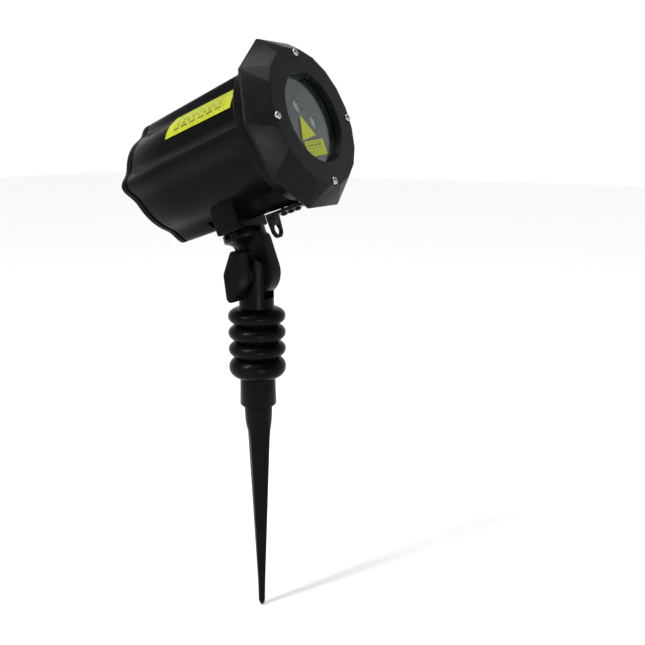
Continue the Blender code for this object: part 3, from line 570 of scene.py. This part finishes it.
def pivot_arm(arm):
    plate = prism("arm", [arm_outline()], 2 * EYE_HALF, arm, turn=SIDEWAYS)
    round_edges(plate, 0.9, 4)
    top = PIVOT_DOWN + BOSS_BOTTOM - GAP
    profile = [(0, top), (15.5, top), (15.95, top - 0.2), (16.1, top - 0.6), (16.1, top - 5.2)]
    profile += [(15.9, top - 5.7), (15.2, top - 6.0), (13.2, top - 7.1), (11.5, top - 8.5)]
    profile += [(9.8, top - 10.0), (8.6, top - 11.5), (7.0, top - 15.5), (0, top - 15.5)]
    combine(plate, "UNION", turned("arm_crown", profile, arm))
    for i, back in enumerate((-3.4, 0.9)):
        rib = box(f"arm_rib_{i}", (-8.6, back, 14.3), (8.6, back + 1.6, 27), arm)
        round_edges(rib, 0.5, 3)
        combine(plate, "UNION", rib)
    for i in range(4):
        slot = box(f"crown_gap_{i}", (-18, -3, top - 3.3), (18, 3, top + 2), arm)
        slot.rotation_euler = (0, 0, math.radians(30 + 45 * i))
        combine(plate, "DIFFERENCE", slot)
    combine(plate, "UNION", rod("crown_core", 9, top - 6, top, arm))
    eye_hole = rod("arm_eye_hole", BOLT_R + 0.05, -10, 10, arm, turn=ACROSS)
    thread = rod("arm_thread", BOLT_R + 0.05, 14, top + 2, arm)
    combine(plate, "DIFFERENCE", eye_hole, thread)
    piece(plate, "pivot_arm", "arm", "stake_plastic", PLASTIC)


# ---- head ----

def quarter_points(radius):
    return [(radius * math.cos(a), radius * math.sin(a)) for a in [math.radians(90 * i) for i in range(4)]]


def lobed_section(back, shrink=0.0):
    """The barrel's outline: a circle with four rounded lobes that taper towards the back."""
    reach = LOBE_REACH - (back - FLANGE_BACK) * LOBE_TAPER - shrink
    base = BARREL_R - shrink
    points = []
    for i in range(240):
        lean = (i * 1.5 + 45) % 90 - 45
        angle = math.radians(i * 1.5)
        radius = base + (reach - base) * math.exp(-((lean / LOBE_SPREAD) ** 2))
        points.append((radius * math.cos(angle), back, radius * math.sin(angle)))
    return points


def lobe_stop():
    """The gap cut between the boss and the bottom lobe, whose front end is a round nose."""
    nose = [(13.0 * math.sin(a), 107.0 + 13.0 * (1 - math.cos(a))) for a in
            [math.radians(-90 + 5 * i) for i in range(37)]]
    return [(-30, 95)] + [(-30, 120)] + nose + [(30, 120), (30, 95)]


def barrel_housing(head):
    rings = [lobed_section(back) for back in (FLANGE_BACK - 3, 60, 85, 110, BARREL_BACK - 0.8)]
    rings += [lobed_section(BARREL_BACK - 0.25, 0.25), lobed_section(BARREL_BACK, 0.8)]
    housing = loft("housing", rings, head)
    profile = [(0, FLANGE_BACK), (FLANGE_R - 2.2, FLANGE_BACK), (FLANGE_R - 0.9, FLANGE_BACK - 0.5)]
    profile += [(FLANGE_R - 0.2, FLANGE_BACK - 1.3), (FLANGE_R, FLANGE_BACK - 2.2), (FLANGE_R, FLANGE_FRONT)]
    profile += [(DISC_R - 0.1, FLANGE_FRONT), (DISC_R - 0.1, 12.2), (0, 12.2)]
    flange = turned("housing_flange", profile, head, turn=BACKWARD, steps=160)
    boss = box("housing_boss", (-BOSS_HALF_X, BOSS_FRONT, BOSS_BOTTOM), (BOSS_HALF_X, BOSS_BACK, -30), head)
    round_edges(boss, 1.6, 5)
    stop = prism("lobe_stop", [lobe_stop()], 14, head, (0, 0, -47.4))
    bore = rod("housing_bore", BORE_R, 5, 150, head, turn=BACKWARD, steps=96)
    combine(housing, "UNION", flange)
    combine(housing, "DIFFERENCE", stop)
    combine(housing, "UNION", boss)
    combine(housing, "DIFFERENCE", bore)
    combine(housing, "DIFFERENCE", rod("bolt_seat", 8, -BORE_R - 1, -20, head, (0, PIVOT_BACK, 0)))
    hole = rod("pan_hole", BOLT_R + 0.05, -60, -20, head, (0, PIVOT_BACK, 0), (0, 0, 5))
    combine(housing, "DIFFERENCE", hole)
    for i, (x, z) in enumerate(quarter_points(FACE_SCREW_R)):
        combine(housing, "DIFFERENCE", rod(f"tap_{i}", 1.55, 10, 25.5, head, (x, 0, z), BACKWARD, 24))
    for i, (x, z) in enumerate(quarter_points(REAR_SCREW_R)):
        tap = rod(f"rear_tap_{i}", 1.55, BARREL_BACK - 12, 145, head, (x, 0, z), BACKWARD, 24)
        combine(housing, "DIFFERENCE", tap)
    for i, back in enumerate(BRACKET_SCREWS):
        combine(housing, "DIFFERENCE", rod(f"foot_tap_{i}", 1.3, -56, -44.5, head, (0, back, 0), steps=24))
    piece(housing, "barrel_housing", "head", "cast_black", CAST, 28)


def front_bezel(head):
    work = bmesh.new()
    corners = [(x, 0, z) for x, z in circle(FACE_R, 20, start=9)]
    corners += [(x, RIM_BACK, z) for x, z in circle(RIM_R, 10)]
    corners += [(x, BEZEL_BACK, z) for x, z in circle(RIM_R - 0.3, 10)]
    for corner in corners:
        work.verts.new([value * MM for value in corner])
    bmesh.ops.convex_hull(work, input=work.verts)
    bmesh.ops.dissolve_limit(work, angle_limit=math.radians(1), verts=work.verts, edges=work.edges)
    bmesh.ops.recalc_face_normals(work, faces=work.faces)
    mesh = bpy.data.meshes.new("bezel")
    work.to_mesh(mesh)
    work.free()
    bezel = add_object("bezel", mesh, head)
    round_edges(bezel, 0.45, 2, 8)
    lip = [(OPENING_R + 0.9, -3), (OPENING_R + 0.9, -0.01), (OPENING_R + 0.25, 0.25), (OPENING_R, 0.9)]
    profile = [(0, 20)] + [(OPENING_R, 20)] + lip[::-1] + [(0, -3)]
    opening = turned("bezel_opening", profile, head, turn=BACKWARD, steps=160)
    pocket = rod("bezel_pocket", POCKET_R, LIP, 30, head, turn=BACKWARD, steps=96)
    combine(bezel, "DIFFERENCE", opening, pocket)
    for i, (x, z) in enumerate(quarter_points(FACE_SCREW_R)):
        hole = rod(f"bezel_hole_{i}", 1.75, -5, 20, head, (x, 0, z), BACKWARD, 32)
        recess = rod(f"bezel_recess_{i}", 3.7, -5, 1.0, head, (x, 0, z), BACKWARD, 48)
        combine(bezel, "DIFFERENCE", hole, recess)
    piece(bezel, "front_bezel", "head", "bezel_charcoal", BEZEL, 12)


def screw(node, slot, parent, at, turn, form, length):
    """A pan head with a domed top, a rounded rim and a cross recess."""
    head_r, height, shank_r = form
    profile = [(0, height)]
    profile += [(head_r * t, height * (1 - 0.42 * t ** 4)) for t in (0.3, 0.5, 0.65, 0.8, 0.9, 0.97)]
    profile += [(head_r, height * 0.42), (head_r, 0.1), (head_r - 0.1, 0), (shank_r, 0)]
    profile += [(shank_r, 0.4 - length), (shank_r - 0.4, -length), (0, -length)]
    body = turned(node + "_body", profile, parent, at, turn, 48)
    arm, half = head_r * 0.62, head_r * 0.15
    for i, (x, y) in enumerate(((arm, half), (half, arm))):
        slot_tool = box(f"{node}_slot_{i}", (-x, -y, -1.0 - 0.1 * i), (x, y, 1), None)
        slot_tool.parent = body
        slot_tool.location = (0, 0, height * MM)
        combine(body, "DIFFERENCE", slot_tool)
    piece(body, node, "head", slot, STAINLESS if slot == "stainless" else COATED_STEEL)


def screws(head):
    for i, (x, z) in enumerate(quarter_points(FACE_SCREW_R)):
        screw(f"bezel_screw_{i + 1}", "stainless", head, (x, 1.0 - GAP, z), FACING, CASE_SCREW, 22)
    for i, (x, z) in enumerate(quarter_points(REAR_SCREW_R)):
        place = (x, COVER_SEAT + GAP, z)
        screw(f"rear_screw_{i + 1}", "stainless", head, place, BACKWARD, CASE_SCREW, 14)
    seat = BRACKET_TOP - BRACKET_THICK - GAP
    for i, back in enumerate(BRACKET_SCREWS):
        place = (0, back, seat)
        screw(f"bracket_screw_{i + 1}", "black_steel", head, place, (180, 0, 0), FOOT_SCREW, 6.5)


def window(head):
    edge = 0.25
    profile = [(0, GLASS_BACK), (DISC_R - edge, GLASS_BACK), (DISC_R, GLASS_BACK - edge)]
    profile += [(DISC_R, GLASS_FRONT + edge), (DISC_R - edge, GLASS_FRONT), (0, GLASS_FRONT)]
    glass = turned("glass", profile, head, turn=BACKWARD, steps=128)
    piece(glass, "window_glass", "head", "window_glass", GLASS)


def film(name, corners, parent, at, turn, thickness, uv_box):
    """A flat sticker, whose UVs run over its own width and height."""
    sticker = prism(name, [corners], thickness, parent, at, turn)
    while sticker.data.uv_layers:
        sticker.data.uv_layers.remove(sticker.data.uv_layers[0])
    layer = sticker.data.uv_layers.new(name="film")
    width, height, centre, lean = uv_box
    back = Matrix.Rotation(-math.radians(lean), 2)
    for loop in sticker.data.loops:
        point = sticker.data.vertices[loop.vertex_index].co / MM
        own = back @ (Vector((point.x, point.y)) - Vector(centre))
        layer.data[loop.index].uv = (own.x / width + 0.5, own.y / height + 0.5)
    return sticker


def labels(head):
    depth = GLASS_FRONT - 0.15 - LABEL_FILM / 2
    centre = (-7.6, -7.6)
    triangle = circle(11.0, 3, centre, 102)
    sticker = film("triangle", triangle, head, (0, depth, 0), FACING, LABEL_FILM, (24, 24, centre, 12))
    piece(sticker, "triangle_label", "head", "label_yellow", PLAIN_LABEL)
    lean = Matrix.Rotation(math.radians(5), 2)
    centre = (-1.7, -20.1)
    corners = ((12.5, 5.5), (-12.5, 5.5), (-12.5, -5.5), (12.5, -5.5))
    panel = [lean @ Vector(corner) + Vector(centre) for corner in corners]
    sticker = film("panel", panel, head, (0, depth, 0), FACING, LABEL_FILM, (25, 11, centre, 5))
    piece(sticker, "panel_label", "head", "label_yellow", SMALL_LABEL)


def side_label(head):
    """A film that follows the barrel, with its print running along it."""
    front, back = LABEL_ENDS
    work = bmesh.new()
    uv = work.loops.layers.uv.new("film")
    columns, rows = 40, 2
    grid = {}
    for side in (0, 1):
        for i in range(columns + 1):
            turn = LABEL_TOP + (LABEL_LOW - LABEL_TOP) * i / columns
            angle = math.radians(turn)
            for j in range(rows + 1):
                y = front + (back - front) * j / rows
                reach = LOBE_REACH - (y - FLANGE_BACK) * LOBE_TAPER
                swell = (reach - BARREL_R) * math.exp(-(((turn - 90) / LOBE_SPREAD) ** 2))
                radius = BARREL_R + 0.35 + 0.2 * side + swell
                point = (radius * math.cos(angle), y, radius * math.sin(angle))
                grid[side, i, j] = work.verts.new([value * MM for value in point])

    def quad(*keys):
        face = work.faces.new([grid[key] for key in keys])
        for loop, (_, across, along) in zip(face.loops, keys):
            loop[uv].uv = (along / rows, across / columns)

    for i in range(columns):
        for j in range(rows):
            for side in (0, 1):
                quad((side, i, j), (side, i + 1, j), (side, i + 1, j + 1), (side, i, j + 1))
        for j in (0, rows):
            quad((0, i, j), (0, i + 1, j), (1, i + 1, j), (1, i, j))
    for j in range(rows):
        for i in (0, columns):
            quad((0, i, j), (0, i, j + 1), (1, i, j + 1), (1, i, j))
    bmesh.ops.recalc_face_normals(work, faces=work.faces)
    mesh = bpy.data.meshes.new("side_film")
    work.to_mesh(mesh)
    work.free()
    piece(add_object("side_film", mesh, head), "side_label", "head", "label_yellow", PRINTED_LABEL)


def lock_bracket(head):
    eye_drop = -62.4
    tab = [p for p in around_circles(((0, eye_drop, 6.1), (0, -54.0, 7.0)), 120) if p[1] < -53.5]
    tab += [(7, BRACKET_TOP), (-7, BRACKET_TOP)]
    tab.sort(key=lambda p: math.atan2(p[1] + 57, p[0]))
    hole = circle(3.8, 48, (0, eye_drop))
    plate = prism("bracket", [tab, hole], BRACKET_THICK, head, (0, 57.2, 0), FACING)
    round_edges(plate, 0.45, 3)
    foot = [p for p in around_circles(((0, 33.5, 7.0), (0, 51.0, 7.0)), 120) if p[1] < 51.0]
    foot += [(7, 58.2), (-7, 58.2)]
    foot.sort(key=lambda p: math.atan2(p[1] - 45, p[0]))
    holes = [circle(1.6, 24, (0, back)) for back in BRACKET_SCREWS]
    sole_at = (0, 0, BRACKET_TOP - BRACKET_THICK / 2)
    sole = prism("bracket_foot", [foot] + holes, BRACKET_THICK, head, sole_at)
    round_edges(sole, 0.3, 2)
    combine(plate, "UNION", sole)
    piece(plate, "lock_bracket", "head", "black_steel", COATED_STEEL)


def rear_cover(head):
    rings = [lobed_section(COVER_FRONT, 0.5), lobed_section(COVER_FRONT + 0.5)]
    for turn_share in (0, 0.25, 0.5, 0.75, 1.0):
        lean = turn_share * math.pi / 2
        rings.append(lobed_section(COVER_BACK - 1.7 * (1 - math.sin(lean)), 1.7 * (1 - math.cos(lean))))
    cover = loft("cover", rings, head)
    combine(cover, "DIFFERENCE", rod("cover_inlet", 5.8, 130, 150, head, (0, 0, INLET_Z), BACKWARD))
    for i, (x, z) in enumerate(quarter_points(REAR_SCREW_R)):
        hole = rod(f"cover_hole_{i}", 1.75, 130, 150, head, (x, 0, z), BACKWARD, 32)
        recess = rod(f"cover_recess_{i}", 3.3, COVER_SEAT, 155, head, (x, 0, z), BACKWARD, 48)
        combine(cover, "DIFFERENCE", hole, recess)
    piece(cover, "rear_cover", "head", "cast_black", CAST, 28)


def dc_inlet(head):
    outside = COVER_BACK + GAP
    profile = [(0, INLET_BACK), (5.4, INLET_BACK), (5.85, INLET_BACK - 0.2), (6.0, INLET_BACK - 0.6)]
    for i in range(4):
        low = INLET_BACK - 1.3 - 1.0 * i
        profile += [(6.0, low + 0.25), (5.6, low), (5.6, low - 0.2), (6.0, low - 0.45)]
    profile += [(6.0, outside + 2.2), (7.3, outside + 2.2), (7.6, outside + 1.9), (7.6, outside)]
    profile += [(5.5, outside), (5.5, INLET_BACK - 19), (0, INLET_BACK - 19)]
    at = (0, 0, INLET_Z)
    body = turned("inlet", profile, head, at, BACKWARD)
    bore = rod("inlet_bore", 3.2, INLET_BACK - 16.5, INLET_BACK + 4, head, at, BACKWARD)
    combine(body, "DIFFERENCE", bore)
    piece(body, "dc_inlet_body", "head", "component_black", COMPONENT)


def empty(name, parent, at, turn=UPRIGHT):
    obj = bpy.data.objects.new(name, None)
    bpy.context.scene.collection.objects.link(obj)
    obj.parent = parent
    obj.location = [value * MM for value in at]
    obj.rotation_euler = [math.radians(value) for value in turn]
    return obj


def build():
    stake_neck()
    ground_spike()
    tilt_bolt()
    hinge = empty("knob_axis", None, (0, 0, PIVOT_Z), (6.4, 0, 0))
    knob_pieces(hinge)
    arm = empty("arm_axis", None, (0, 0, PIVOT_Z), (-HEAD_PITCH, 0, 0))
    pivot_arm(arm)
    head = empty("head_axis", arm, (0, -PIVOT_BACK, PIVOT_DOWN))
    barrel_housing(head)
    front_bezel(head)
    screws(head)
    window(head)
    labels(head)
    side_label(head)
    lock_bracket(head)
    rear_cover(head)
    dc_inlet(head)
    show_pieces()
    for guide in (head, arm, hinge):
        bpy.data.objects.remove(guide)


# ---- studio ----

def lamp(name, place, aim, size, power, colour=(1, 1, 1)):
    data = bpy.data.lights.new(name, "AREA")
    data.shape = "RECTANGLE"
    data.size, data.size_y = size
    data.energy = power
    data.color = colour
    obj = bpy.data.objects.new(name, data)
    bpy.context.scene.collection.objects.link(obj)
    obj.location = place
    obj.rotation_euler = (Vector(aim) - Vector(place)).to_track_quat("-Z", "Y").to_euler()


def studio():
    floor_mesh = bpy.data.meshes.new("floor")
    work = bmesh.new()
    bmesh.ops.create_grid(work, x_segments=2, y_segments=2, size=6.0)
    work.to_mesh(floor_mesh)
    work.free()
    floor = bpy.data.objects.new("floor", floor_mesh)
    bpy.context.scene.collection.objects.link(floor)
    floor.location = (0, 0, CAD_BOUNDS[0].z - 0.0004)
    paper, nodes, links, shader = shader_of("floor_paper")
    grain = noise(nodes, links, 30.0, 3.0)
    links.new(ramp(nodes, links, grain, ((0.3, (0.86, 0.86, 0.86)), (0.7, (0.88, 0.88, 0.88)))),
              shader.inputs["Base Color"])
    shader.inputs["Roughness"].default_value = 0.9
    floor_mesh.materials.append(paper)
    world = bpy.data.worlds.new("studio")
    world.use_nodes = True
    nodes, links = world.node_tree.nodes, world.node_tree.links
    way = nodes.new("ShaderNodeTexCoord")
    axes = nodes.new("ShaderNodeSeparateXYZ")
    links.new(way.outputs["Generated"], axes.inputs["Vector"])
    ceiling = ramp(nodes, links, axes.outputs["Z"], ((0.2, (1, 1, 1)), (0.55, (0.2, 0.21, 0.23))))
    links.new(ceiling, nodes["Background"].inputs["Color"])
    bpy.context.scene.world = world
    lamp("ridge_strip", (-0.75, 0.35, 1.0), (0, 0.03, 0.2), (0.12, 0.7), 14, (0.95, 0.97, 1))
    lamp("facet_card", (-0.89, -1.05, 0.15), (-0.05, -0.05, 0.19), (0.5, 0.35), 5, (0.86, 0.93, 1))
    sky = bpy.data.lights.new("overhead", "SUN")
    sky.energy = 2.4
    sky.angle = math.radians(45)
    bpy.context.scene.collection.objects.link(bpy.data.objects.new("overhead", sky))


def camera():
    """The viewpoint and lens that were fitted to the photo."""
    data = bpy.data.cameras.new("photo_view")
    data.lens = 45.9
    data.sensor_width = 36
    data.clip_start = 0.01
    obj = bpy.data.objects.new("photo_view", data)
    bpy.context.scene.collection.objects.link(obj)
    obj.location = (-0.4906, -0.3490, 0.2002)
    obj.rotation_euler = (math.radians(90 - 12.835), 0, math.radians(-59.246))
    bpy.context.scene.camera = obj


bpy.context.scene.view_settings.view_transform = "Standard"
camera()
for node, finish in CAD_FINISHES.items():
    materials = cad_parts[node].data.materials
    materials.clear()
    materials.append(finish)
build()
studio()
